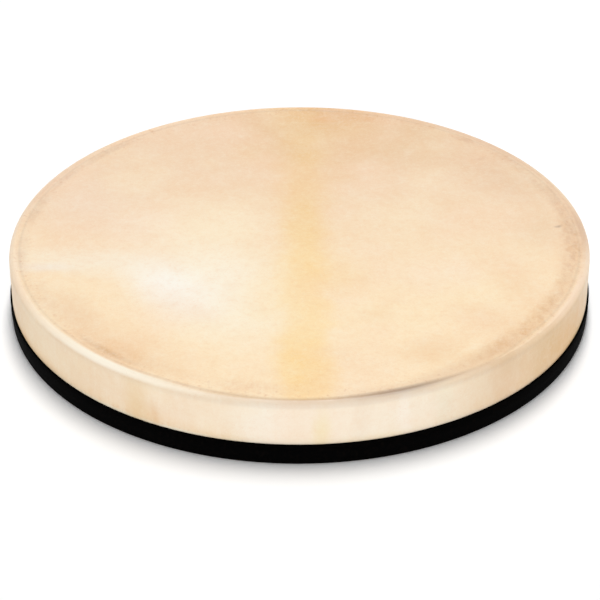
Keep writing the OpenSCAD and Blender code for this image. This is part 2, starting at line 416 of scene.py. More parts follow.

# Bearing, height, reach, colour and strength
# Partly the skirt's own tones and partly painted light. The broad pale row at the front and the narrow pale
# streaks near it are painted light and sheen, and the darker rows towards both sides are painted shade.
SIDE_MARKS_AND_PAINTED_LIGHT = tuple(Mark.on_side(*row) for row in (
    (6, 0.036, (0.150, 0.080), (247, 236, 216), 0.90),
    (24, 0.034, (0.060, 0.050), (246, 234, 214), 0.50),
    (-31, 0.030, (0.020, 0.050), (228, 188, 124), 0.56),
    (-67, 0.034, (0.075, 0.050), (235, 199, 146), 0.52),
    (11, 0.038, (0.012, 0.050), (238, 220, 196), 0.50),
    (41, 0.038, (0.030, 0.080), (216, 186, 152), 0.60),
    (19, 0.036, (0.010, 0.060), (252, 243, 230), 0.45),
    (27, 0.036, (0.012, 0.060), (236, 230, 206), 0.40),
    (-6, 0.036, (0.030, 0.060), (250, 241, 226), 0.45),
    (-27, 0.026, (0.008, 0.024), (228, 184, 130), 0.45),
    (-48, 0.036, (0.090, 0.060), (240, 211, 171), 0.55),
    (-62, 0.018, (0.080, 0.012), (230, 178, 112), 0.60),
    (-76, 0.034, (0.070, 0.050), (240, 208, 168), 0.50),
    (4, 0.028, (0.012, 0.034), (240, 226, 176), 0.65),
    (-14, 0.019, (0.040, 0.006), (238, 204, 152), 0.45),
    (14, 0.018, (0.060, 0.006), (244, 218, 172), 0.45),
    (34, 0.036, (0.050, 0.080), (232, 208, 176), 0.60),
    (56, 0.036, (0.120, 0.070), (219, 182, 130), 0.85),
    (64, 0.026, (0.080, 0.040), (223, 176, 106), 0.72),
    (84, 0.028, (0.060, 0.030), (228, 190, 144), 0.50),
    (130, 0.034, (0.080, 0.030), (238, 210, 172), 0.50),
    (170, 0.030, (0.060, 0.040), (228, 194, 150), 0.55),
    (-120, 0.034, (0.090, 0.030), (240, 214, 178), 0.50),
    (-155, 0.024, (0.040, 0.020), (224, 186, 140), 0.45)))


@dataclass(frozen=True)
class Goatskin(Finish):
    """Natural rawhide, shaved and stretched wet: pale, mottled, with the darker stripe of the goat's back;
    painted highlights and painted shade are laid into its colour as well.

    The bends and the clouds are layers: a width, and how far it bends or how deep it colours. A fade is the
    stretch over which a level changes, then the level before and after it. The hem fades by height above the
    table, the stripe's half width from front to back, its edges by shares of that half width, the insets of
    the crease from the crest by length round the drum, and the rest by the clouds' own levels.
    """

    # Paler towards the front and darker towards the back: partly the hide's own tone and partly painted
    # light, with the back in painted shade.
    front: Colour = hide(255, 230, 191)
    back: Colour = hide(240, 209, 176)
    side: Colour = hide(244, 220, 190)
    hem: Colour = hide(238, 202, 148)
    hem_fleck: Colour = hide(226, 164, 98)
    # A painted light line along the skirt just above the band.
    hem_painted_light: Colour = hide(255, 248, 226)
    streak: Colour = hide(252, 240, 222)
    stripe: Colour = hide(254, 219, 154)
    stripe_back: Colour = hide(236, 198, 140)
    stain: Colour = hide(206, 144, 92)
    # Colour of the painted shade in the crease and under the lip.
    crease: Colour = hide(138, 104, 82)
    pore: Colour = hide(226, 164, 106)
    flush: Colour = hide(250, 214, 182)
    cream: Colour = hide(255, 240, 206)
    blotch: Colour = hide(234, 182, 126)
    bloom: Colour = hide(255, 248, 232)
    turn: Flat = (CREST_R - 0.4 * MM, CREST_R + 1.2 * MM)
    far: Flat = (-0.16, 0.20)
    stripe_x: float = 0.004
    stripe_half: Fade = (-0.22, 0.10, 0.029, 0.021)
    stripe_near: Fade = (0.25, 1.15, 0.9, 0.0)
    stripe_far: Fade = (0.0, 1.9, 0.85, 0.0)
    wander: float = 1.3
    wander_w: float = 42 * MM
    head_bends: tuple[Flat, ...] = ((60 * MM, 9 * MM), (16 * MM, 7 * MM), (4 * MM, 2.4 * MM))
    rim_bends: tuple[Flat, ...] = ((30 * MM, 2.4 * MM), (7 * MM, 2.0 * MM), (2.5 * MM, 1.2 * MM))
    clouds: tuple[Flat, ...] = ((24 * MM, 0.12), (8 * MM, 0.12), (3.4 * MM, 0.13), (1.5 * MM, 0.15))
    deeper: Flat = (0.46, 0.84)
    paler: Flat = (0.54, 0.16)
    broad_w: float = 75 * MM
    flush_fade: Fade = (0.45, 0.74, 0.0, 0.24)
    cream_fade: Fade = (0.52, 0.26, 0.0, 0.26)
    fleck_w: float = 5 * MM
    fleck_fade: Fade = (0.34, 0.70, 0.45, 1.0)
    stain_w: float = 26 * MM
    stain_speck_w: float = 4 * MM
    stain_fade: Fade = (0.54, 0.74, 0.0, 0.42)
    streak_w: float = 7 * MM
    streak_fade: Fade = (0.42, 0.72, 0.0, 0.30)
    hem_fade: Fade = (19 * MM, 34 * MM, 0.38, 0.0)
    hem_speck_w: float = 3 * MM
    hem_specks: Fade = (19 * MM, 28 * MM, 0.55, 0.0)
    hem_light_fade: Fade = (BAND.top + 0.8 * MM, BAND.top + 3.2 * MM, 0.80, 0.0)
    insets: tuple[Fade, ...] = (
        (-0.130, 0.0, 6 * MM, 0.5 * MM), (0.16, 0.21, 0.0, 4.5 * MM), (-0.27, -0.21, -1.2 * MM, 0.0))
    lip_highlight_out: Flat = (0.4 * MM, 3.8 * MM)
    lip_highlight_low: float = 3.2 * MM
    lip_highlight_high: float = 0.5 * MM
    crease_w: float = 2.2 * MM
    crease_shade_depth: float = 0.10
    shade_w: float = 3.2 * MM
    shade_at: float = 0.05
    shade_reach: float = 0.26
    shade_depth: float = 0.07
    shade_least: float = 0.02
    pore_gap: float = 1.5 * MM
    pore_drift_w: float = 34 * MM
    pore_depth: float = 0.26
    cloud_w: float = 6 * MM
    grain_w: float = 0.9 * MM
    relief: float = 0.22 * MM
    relief_shares: tuple[float, float, float] = (0.55, 0.35, 0.3)
    roughness: float = 0.46
    specular: float = 0.42

    def paint(self, net: Net) -> Socket:
        """Paints the hide from the flat ground up to the pores.

        Args:
            net: The material's tree.

        Returns:
            The shader's socket.
        """
        place = net.place()
        drifted = self.drift(net, place, self.head_bends)
        rim_bent = self.drift(net, place, self.rim_bends)
        radius, height = net.radius(place), net.parts(place)["Z"]
        on_side = net.ramp(radius, *self.turn)
        head = self.marked(net, self.head_ground(net, drifted), net.flat(drifted), HEAD_MARKS_AND_HIGHLIGHT)
        flecks = net.noise(net.scaled(place, 1.0, 0.5, 1.0), self.fleck_w, 4.0, 0.65)
        flecks = net.ramp(flecks, *self.fleck_fade)
        head = self.marked(net, head, self.rolled(net, rim_bent, net.radius(rim_bent)), RIM_MARKS, flecks)
        side_sheet = self.rolled(net, drifted, net.parts(drifted)["Z"])
        side = self.marked(net, self.side_ground(net, drifted, height), side_sheet, SIDE_MARKS_AND_PAINTED_LIGHT)
        colour = net.mix(on_side, head, side)
        colour = self.mottled(net, colour, place, net.ramp(on_side, 0.0, 1.0, 1.0, 0.6))
        colour = self.edged(net, colour, place, radius, height, on_side)
        # Painted shade in the crease inside the lip, kept to the top edge.
        crease_shade_mask = net.ramp(height, SKIN.top - 1.6 * LIP_R, SKIN.top - 0.5 * LIP_R)
        colour = self.marked(net, colour, self.rolled(net, drifted, radius), CREASE_SHADE_MARKS, crease_shade_mask)
        pores = self.pores(net, place)
        colour = net.mix(net.times(pores, self.pore_depth), colour, self.pore)
        cloud = net.noise(place, self.cloud_w, 4.0, 0.6)
        grain = net.noise(place, self.grain_w, 3.0, 0.6)
        parts = [net.times(part, share) for part, share in zip((cloud, grain, pores), self.relief_shares)]
        relief = net.minus(net.plus(parts[0], parts[1]), parts[2])
        roughness = net.ramp(cloud, 0.3, 0.75, self.roughness - 0.06, self.roughness + 0.1)
        return net.surface(Base_Color=colour, Roughness=roughness, Normal=net.bump(relief, self.relief),
                           Specular_IOR_Level=self.specular)

    def rolled(self, net: Net, place: Value, across: Value) -> Socket:
        """Lays the hide round the drum out flat.

        Args:
            net: The material's tree.
            place: The coordinates that the bearing is taken from.
            across: What is laid across: the radius on the rim, and the height on the skirt.

        Returns:
            The flat coordinates: length round the drum from the front, and across.
        """
        parts = net.parts(place)
        bearing = net.math("ARCTAN2", parts["X"], net.times(parts["Y"], -1.0))
        return net.joined(X=net.times(bearing, SKIN.radius), Y=across)

    def drift(self, net: Net, place: Value, layers: Sequence[Flat]) -> Socket:
        """Bends the coordinates a little, so that no marking has a drawn outline.

        Args:
            net: The material's tree.
            place: The place on the piece.
            layers: The width of the bends in each layer, and how far they reach.

        Returns:
            The bent coordinates.
        """
        for size, reach in layers:
            cloud = net.vector("SUBTRACT", net.noise(place, size, output="Color"), (0.5, 0.5, 0.5)).outputs[0]
            place = net.vector("ADD", place, net.scaled(cloud, reach, reach, 0.3 * reach)).outputs[0]
        return place

    def head_ground(self, net: Net, place: Value) -> Socket:
        """Gives the playing surface's ground: paler in front and darker behind, partly the hide's own tone
        and partly painted light, with the stripe of the back down its middle.

        Args:
            net: The material's tree.
            place: The bent coordinates.

        Returns:
            The colour's socket.
        """
        parts = net.parts(place)
        # Paler in front and darker behind: partly the hide's own tone and partly painted light.
        far = net.ramp(parts["Y"], *self.far)
        ground = net.mix(far, self.front, self.back)
        stripe = net.mix(far, self.stripe, self.stripe_back)
        wander = net.noise(net.scaled(place, 0.6, 1.0, 0.0), self.wander_w, 3.0, 0.6)
        off = net.math("ABSOLUTE", net.minus(parts["X"], self.stripe_x))
        off = net.math("DIVIDE", off, net.ramp(parts["Y"], *self.stripe_half))
        off = net.plus(off, net.math("MULTIPLY_ADD", wander, self.wander, -self.wander / 2))
        crisp = net.ramp(off, *self.stripe_near)
        soft = net.ramp(off, *self.stripe_far)
        return net.mix(net.plus(crisp, net.times(far, net.minus(soft, crisp))), ground, stripe)

    def side_ground(self, net: Net, place: Value, height: Value) -> Socket:
        """Gives the skirt's ground: yellower towards the band, with faint upright streaks and a painted light
        line just above the band.

        Args:
            net: The material's tree.
            place: The bent coordinates.
            height: The height above the table.

        Returns:
            The colour's socket.
        """
        ground = net.wash(self.side, self.hem, height, *self.hem_fade)
        specks = net.noise(place, self.hem_speck_w, 4.0, 0.7)
        specks = net.times(net.ramp(height, *self.hem_specks), net.ramp(specks, 0.52, 0.70))
        ground = net.mix(specks, ground, self.hem_fleck)
        streaks = net.noise(net.scaled(place, 1.0, 1.0, 0.12), self.streak_w, 3.0, 0.6)
        ground = net.wash(ground, self.streak, streaks, *self.streak_fade)
        # Painted light along the skirt just above the band.
        return net.wash(ground, self.hem_painted_light, height, *self.hem_light_fade)

    def marked(self, net: Net, ground: Value, sheet: Value, marks: Sequence[Mark],
               flecks: Value = 1.0) -> Socket:
        """Lays markings over a ground, one after the other.

        Args:
            net: The material's tree.
            ground: The colour beneath.
            sheet: The coordinates of their stretch of the hide, laid out flat.
            marks: The markings.
            flecks: How much of them shows from place to place.

        Returns:
            The colour's socket.
        """
        for mark in marks:
            ground = net.mix(net.times(mark.level(net, sheet), flecks), ground, mark.colour)
        return ground

    def mottled(self, net: Net, colour: Value, place: Value, strength: Value) -> Socket:
        """Lays the hide's clouds over a colour, from hand-wide ones down to grains.

        Args:
            net: The material's tree.
            colour: The colour beneath.
            place: The place on the piece.
            strength: How much of the finer clouds shows.

        Returns:
            The colour's socket.
        """
        broad = net.noise(place, self.broad_w)
        colour = net.wash(colour, self.flush, broad, *self.flush_fade)
        colour = net.wash(colour, self.cream, broad, *self.cream_fade)
        for size, depth in self.clouds:
            cloud = net.noise(place, size, 2.0, 0.55)
            deeper = net.times(net.ramp(cloud, *self.deeper, 0.0, depth), strength)
            paler = net.times(net.ramp(cloud, *self.paler, 0.0, depth), strength)
            colour = net.mix(paler, net.mix(deeper, colour, self.blotch), self.bloom)
        return colour

    def edged(self, net: Net, colour: Value, place: Value, radius: Value, height: Value,
              on_side: Value) -> Socket:
        """Paints the top edge: rim stains, painted highlights on the lip, painted shade in the crease inside
        it and painted shade under it.

        Args:
            net: The material's tree.
            colour: The colour beneath.
            place: The place on the piece.
            radius: Distance from the drum's axis.
            height: Height above the table.
            on_side: 0 on the head and 1 on the skirt.

        Returns:
            The colour's socket.
        """
        rim = net.ramp(radius, CREST_R - self.stain_w, CREST_R - 1 * MM)
        specks = net.noise(place, self.stain_speck_w, 4.0, 0.7)
        stain = net.times(rim, net.ramp(specks, *self.stain_fade))
        colour = net.mix(net.times(stain, net.minus(1.0, on_side)), colour, self.stain)
        sheet = self.rolled(net, place, radius)
        along = net.parts(sheet)["X"]
        inset = net.ramp(along, *self.insets[0])
        for change in self.insets[1:]:
            inset = net.plus(inset, net.ramp(along, *change))
        off = net.plus(net.minus(radius, CREST_R), inset)
        # Painted highlight along the lip, set by bearing.
        lip = net.ramp(height, SKIN.top - self.lip_highlight_low, SKIN.top - self.lip_highlight_high)
        lip = net.times(net.ramp(off, *self.lip_highlight_out), lip)
        colour = self.marked(net, colour, sheet, LIP_HIGHLIGHT_AND_TONE_MARKS, lip)
        off = net.math("ABSOLUTE", off)
        # A thin painted shade line along the crease.
        colour = net.wash(colour, self.crease, off, 0.0, self.crease_w, self.crease_shade_depth, 0.0)
        shade = Mark((self.shade_at, CREST_R), (self.shade_reach, 1.0), 0.0, self.crease, self.shade_depth)
        under = net.times(net.ridge(height, SKIN.top - 1.1 * LIP_R, self.shade_w), on_side)
        depth = net.plus(shade.level(net, sheet), self.shade_least)
        return net.mix(net.times(under, depth), colour, self.crease)

    def pores(self, net: Net, place: Value) -> Socket:
        """Gives the pores that the hair left, in drifts.

        Args:
            net: The material's tree.
            place: The place on the piece.

        Returns:
            The pores' level, from 0 to 1.
        """
        cells = net.add("ShaderNodeTexVoronoi", {"Vector": place, "Scale": 1 / self.pore_gap})
        drifts = net.ramp(net.noise(place, self.pore_drift_w, 3.0), 0.44, 0.62)
        return net.times(net.ramp(cells.outputs["Distance"], 0.26, 0.10), drifts)


@dataclass(frozen=True)
class PlyWood(Finish):
    """Bent veneer with its grain round the hoop, sanded and sealed."""

    light: Colour = hide(226, 192, 148)
    dark: Colour = hide(184, 138, 92)
    grain_round: float = 8.4
    grain_w: float = 1.3 * MM
    cloud_w: float = 45 * MM
    relief: float = 0.06 * MM

    def paint(self, net: Net) -> Socket:
        """Draws the grain out along the bend.

        Args:
            net: The material's tree.

        Returns:
            The shader's socket.
        """
        place = net.place()
        flat = net.flat(place)
        way = net.parts(net.vector("NORMALIZE", flat).outputs[0])
        across = net.math("DIVIDE", net.plus(net.parts(place)["Z"], net.length(flat)), self.grain_w)
        drawn = {axis: net.times(way[axis], self.grain_round) for axis in "XY"}
        grain = net.noise(net.joined(**drawn, Z=across), 1.0, 4.0, 0.6)
        colour = net.wash(self.light, self.dark, grain, 0.35, 0.72)
        colour = net.wash(colour, self.dark, net.noise(place, self.cloud_w), 0.4, 0.7, 0.0, 0.25)
        roughness = net.ramp(grain, 0.3, 0.7, 0.42, 0.6)
        return net.surface(Base_Color=colour, Roughness=roughness, Normal=net.bump(grain, self.relief))


@dataclass(frozen=True)
class ClearFilm(Finish):
    """Clear plastic film with faint scuffs."""

    tint: Colour = hide(236, 243, 246)
    scuffed: Colour = hide(255, 255, 255)
    clearness: float = 0.84
    scuff_w: float = 3 * MM
    haze_w: float = 60 * MM
    relief: float = 0.02 * MM

    def paint(self, net: Net) -> Socket:
        """Scuffs the film a little.

        Args:
            net: The material's tree.

        Returns:
            The shader's socket.
        """
        place = net.place()
        scuffs = net.noise(net.scaled(place, 1.0, 0.15, 1.0), self.scuff_w, 5.0, 0.7)
        haze = net.noise(place, self.haze_w, 3.0)
        roughness = net.plus(net.ramp(scuffs, 0.58, 0.70, 0.08, 0.34), net.ramp(haze, 0.4, 0.7, 0.0, 0.08))
        colour = net.wash(self.tint, self.scuffed, scuffs, 0.60, 0.75, 0.0, 0.6)
        return net.surface(Base_Color=colour, Roughness=roughness, Alpha=1 - self.clearness,
                           Normal=net.bump(scuffs, self.relief))


@dataclass(frozen=True)
class BlackTrim(Finish):
    """Matt black binding with a fine woven face."""

    black: Colour = hide(1, 1, 1)
    worn: Colour = hide(10, 7, 6)
    threads_round: int = 1480
    thread_w: float = 1.05 * MM
    dust_w: float = 3 * MM
    relief: float = 0.08 * MM

    def paint(self, net: Net) -> Socket:
        """Weaves the face round the band.

        Args:
            net: The material's tree.

        Returns:
            The shader's socket.
        """
        place = net.place()
        parts = net.parts(place)
        turn = net.times(net.math("ARCTAN2", parts["Y"], parts["X"]), self.threads_round)
        rise = net.times(parts["Z"], 2 * math.pi / self.thread_w)
        weave = net.times(net.math("SINE", turn), net.math("SINE", rise))
        weave = net.math("MULTIPLY_ADD", weave, 0.5, 0.5)
        dust = net.noise(place, self.dust_w, 4.0, 0.7)
        colour = net.wash(self.black, self.worn, dust, 0.45, 0.75)
        roughness = net.ramp(dust, 0.3, 0.7, 0.72, 0.88)
        return net.surface(Base_Color=colour, Roughness=roughness, Normal=net.bump(weave, self.relief),
                           Specular_IOR_Level=0.01)


@dataclass(frozen=True)
class Steel(Finish):
    """Bare or blued steel with fine marks."""

    bright: Colour = hide(226, 227, 229)
    dull: Colour = hide(196, 198, 202)
    smooth: float = 0.16
    rubbed: float = 0.34
    mark_w: float = 0.8 * MM
    tarnish_w: float = 9 * MM
    relief: float = 0.01 * MM

    def paint(self, net: Net) -> Socket:
        """Rubs the steel a little.

        Args:
            net: The material's tree.

        Returns:
            The shader's socket.
        """
        place = net.place()
        marks = net.noise(place, self.mark_w, 4.0, 0.65)
        colour = net.wash(self.bright, self.dull, net.noise(place, self.tarnish_w), 0.4, 0.7)
        roughness = net.ramp(marks, 0.42, 0.74, self.smooth, self.rubbed)
        return net.surface(Base_Color=colour, Metallic=1.0, Roughness=roughness,
                           Normal=net.bump(marks, self.relief))


@dataclass(frozen=True)
class PaleFloor(Finish):
    """A matt white floor, clear from beneath, so that the drum's underside can be looked at."""

    white: Colour = hide(253, 253, 253)
    lift: float = 0.11

    def paint(self, net: Net) -> Socket:
        """Lifts the white a little where it is seen.

        Args:
            net: The material's tree.

        Returns:
            The shader's socket.
        """
        matt = net.out("ShaderNodeBsdfDiffuse", {"Color": self.white})
        lift = net.out("ShaderNodeEmission", {"Strength": net.times(net.seen(), self.lift)})
        lit = net.out("ShaderNodeAddShader", {0: matt, 1: lift})
        behind = net.add("ShaderNodeNewGeometry").outputs["Backfacing"]
        clear = net.out("ShaderNodeBsdfTransparent")
        return net.out("ShaderNodeMixShader", {0: behind, 1: lit, 2: clear})


def linked(name: str, data: bpy.types.ID) -> Object:
    """Makes an object and puts it in the scene.

    Args:
        name: The object's name.
        data: Its mesh, lamp or camera.

    Returns:
        The object, at the origin.
    """
    made = bpy.data.objects.new(name, data)
    bpy.context.scene.collection.objects.link(made)
    return made


def plain_mesh(holder: Object) -> Mesh:
    """Gives what an object's modifiers make, as a mesh of its own, and removes the object.

    Args:
        holder: The object.

    Returns:
        The plain mesh, with no modifier behind it.
    """
    graph = bpy.context.evaluated_depsgraph_get()
    made = bpy.data.meshes.new_from_object(holder.evaluated_get(graph), depsgraph=graph)
    bpy.data.objects.remove(holder)
    return made


def dressed(mesh: Mesh, finish: Material) -> Mesh:
    """Gives a whole mesh one material.

    Args:
        mesh: The mesh.
        finish: Its material.

    Returns:
        The same mesh.
    """
    mesh.materials.clear()
    mesh.materials.append(finish)
    mesh.polygons.foreach_set("material_index", [0] * len(mesh.polygons))
    return mesh


def meshed(name: str, shape: bmesh.types.BMesh) -> Mesh:
    """Turns a working shape into a mesh with smooth faces.

    Args:
        name: The mesh's name.
        shape: The working shape, which is freed.

    Returns:
        The mesh.
    """
    mesh = bpy.data.meshes.new(name)
    shape.to_mesh(mesh)
    shape.free()
    mesh.shade_smooth()
    return mesh


def turned(name: str, section: Section, bearings: int) -> Mesh:
    """Turns a half section about the drum's axis into a closed mesh.

    Args:
        name: The mesh's name.
        section: Its points as radius and height, from the axis round to the axis again.
        bearings: Number of steps round the axis.

    Returns:
        The mesh, with its faces outwards.
    """
    shape = bmesh.new()
    rings = []
    for radius, height in section:
        count = bearings if radius > 0 else 1
        angles = (2 * math.pi * i / bearings for i in range(count))
        rings.append([shape.verts.new((radius * math.cos(a), radius * math.sin(a), height)) for a in angles])
    for ring, following in zip(rings, rings[1:]):
        for i in range(bearings):
            steps = ((ring, i), (following, i), (following, i + 1), (ring, i + 1))
            shape.faces.new(list(dict.fromkeys(corners[j % len(corners)] for corners, j in steps)))
    bmesh.ops.recalc_face_normals(shape, faces=shape.faces)
    return meshed(name, shape)


def piece(name: str, mesh: Mesh, crisp: float, body: str, slot: Slot, *nodes: str) -> Object:
    """Makes a finished piece of the drum from a mesh that lies in its place.

    Args:
        name: The piece's name.
        mesh: Its mesh, with its material.
        crisp: Corners sharper than this many degrees stay crisp; with 0 none does.
        body: The body that carries it.
        slot: Its slot in the record; not used.
        nodes: The nodes of the frame that it stands for.

    Returns:
        The piece.
    """
    mesh.name = name
    mesh.shade_smooth()
    if crisp:
        mesh.set_sharp_from_angle(angle=math.radians(crisp))
    made = linked(name, mesh)
    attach(made, body)
    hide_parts(*nodes)
    return made


class Growth:
    """A Geometry Nodes tree with named inputs, which runs once on a carrier and leaves a plain mesh."""

    def __init__(self, name: str, finish: Material, **sizes: float | int) -> None:
        """Starts the tree.

        Args:
            name: The tree's name.
            finish: The material of what it makes.
            sizes: Its other inputs, by label, with what each is set to.
        """
        self.net = Net(bpy.data.node_groups.new(name, "GeometryNodeTree"))
        face = self.net.tree.interface
        face.new_socket("Carrier", in_out="INPUT", socket_type="NodeSocketGeometry")
        self.values = {**sizes, "Finish": finish}
        self.identifiers = {
            label: face.new_socket(label, in_out="INPUT", socket_type=SOCKET_KINDS[type(value)]).identifier
            for label, value in self.values.items()}
        face.new_socket("Result", in_out="OUTPUT", socket_type="NodeSocketGeometry")
        self.entry = self.net.add("NodeGroupInput")

    def __getitem__(self, label: str) -> Socket:
        """Gives one of the tree's inputs by its label."""
        return self.entry.outputs[label]

    def close(self, shape: Socket) -> None:
        """Ends the tree in real geometry with its finish.

        Args:
            shape: The geometry that the tree made.
        """
        real = self.net.out("GeometryNodeRealizeInstances", {"Geometry": shape})
        painted = self.net.out("GeometryNodeSetMaterial", {"Geometry": real, "Material": self["Finish"]})
        self.net.add("NodeGroupOutput", {"Result": painted})

    def run(self, carrier: Mesh) -> Mesh:
        """Runs the tree on a carrier.

        Args:
            carrier: The mesh that the tree starts from.

        Returns:
            The finished plain mesh.
        """
        holder = linked("carrier", carrier)
        modifier = holder.modifiers.new("growth", "NODES")
        modifier.node_group = self.net.tree
        for label, identifier in self.identifiers.items():
            modifier[identifier] = self.values[label]
        return dressed(plain_mesh(holder), self.values["Finish"])


@dataclass
class Hoop:
    """The bent hoop: three plies glued one in the other, which carry both heads."""

    nodes: tuple[str, ...] = ("inner_ply", "core_ply", "outer_ply")
    finish: PlyWood = PlyWood("ply_wood", Slot.HOOP_WOOD)

    def build(self) -> list[Object]:
        """Dresses the plies as the frame holds them.

        Returns:
            The three plies.
        """
        wood = self.finish.material()
        plies = [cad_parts[node] for node in self.nodes]
        for ply in plies:
            for slot in ply.material_slots:
                slot.material = wood
        return plies


@dataclass
class TackRow:
    """The flat-headed tacks that hold the goatskin's hem on the hoop, under the trim band."""

    count: int = 36
    height: float = 13.7 * MM
    sink: float = 0.05 * MM
    head_r: float = 2.5 * MM
    head_t: float = 0.4 * MM
    dome_h: float = 0.12 * MM
    shank_r: float = 0.65 * MM
    length: float = 5.2 * MM
    point_l: float = 1.6 * MM
    fit: float = 0.03 * MM
    sides: int = 24
    crisp: float = 40.0
    finish: Steel = Steel("blued_steel", Slot.TACK_STEEL, bright=hide(150, 154, 162),
                          dull=hide(116, 120, 130), smooth=0.28, rubbed=0.5)

    def section(self, grow: float = 0.0, point: bool = True) -> Section:
        """Gives a tack's half section, from the face of its head down to its point.

        Args:
            grow: How much wider it is all round, as a seat is for its tack.
            point: False leaves the shank's end flat.

        Returns:
            The points as radius and depth below the head's face, from the axis to the axis.
        """
        head, shank, back = self.head_r + grow, self.shank_r + grow, self.head_t + grow
        tip = self.head_t + self.length + grow
        dome = [(0.0, 0.0), (0.6 * head, 0.25 * self.dome_h), (head, self.dome_h)]
        end = (shank, tip - self.point_l if point else tip)
        return [*dome, (head, back), (shank, back), end, (0.0, tip)]

    def row(self, name: str, shape: Mesh, finish: Material) -> Mesh:
        """Sets one shape round the drum, once for each tack.

        Args:
            name: The row's name.
            shape: One tack or seat, whose axis is Z and whose face is at the origin, pointing down.
            finish: The material of the row.

        Returns:
            The whole row as one mesh.
        """
        growth = Growth(name, finish, Count=self.count, Radius=SKIN.radius - self.sink, Height=self.height)
        net = growth.net
        circle = net.out("GeometryNodeMeshCircle", {"Vertices": growth["Count"], "Radius": growth["Radius"]})
        step = net.math("DIVIDE", math.tau, growth["Count"])
        turn = net.times(net.out("GeometryNodeInputIndex"), step)
        placed = net.out("GeometryNodeInstanceOnPoints", {
            "Points": circle,
            "Instance": growth["Carrier"],
            "Rotation": net.joined(Y=-math.pi / 2, Z=turn)})
        growth.close(net.out("GeometryNodeTransform", {
            "Geometry": placed,
            "Translation": net.joined(Z=growth["Height"]),
            "Rotation": net.joined(Z=net.times(step, 0.5))}))
        return growth.run(shape)

    def seats(self) -> Mesh:
        """Makes the cutter for the seats of the tacks in the goatskin.

        Returns:
            A row of stepped plugs, a fit wider than the tacks and open outwards.
        """
        proud = [(0.0, -self.head_t), (self.head_r + self.fit, -self.head_t)]
        plug = turned("tack_seat", proud + self.section(self.fit, point=False)[3:], self.sides)
        return self.row("tack_seats", plug, self.finish.material())

    def build(self) -> list[Object]:
        """Makes the row of tacks, as one piece."""
        mesh = self.row("skin_tack_row", turned("tack", self.section(), self.sides), self.finish.material())
        return [piece("tack_row", mesh, self.crisp, "drum", self.finish.slot, "skin_tacks")]


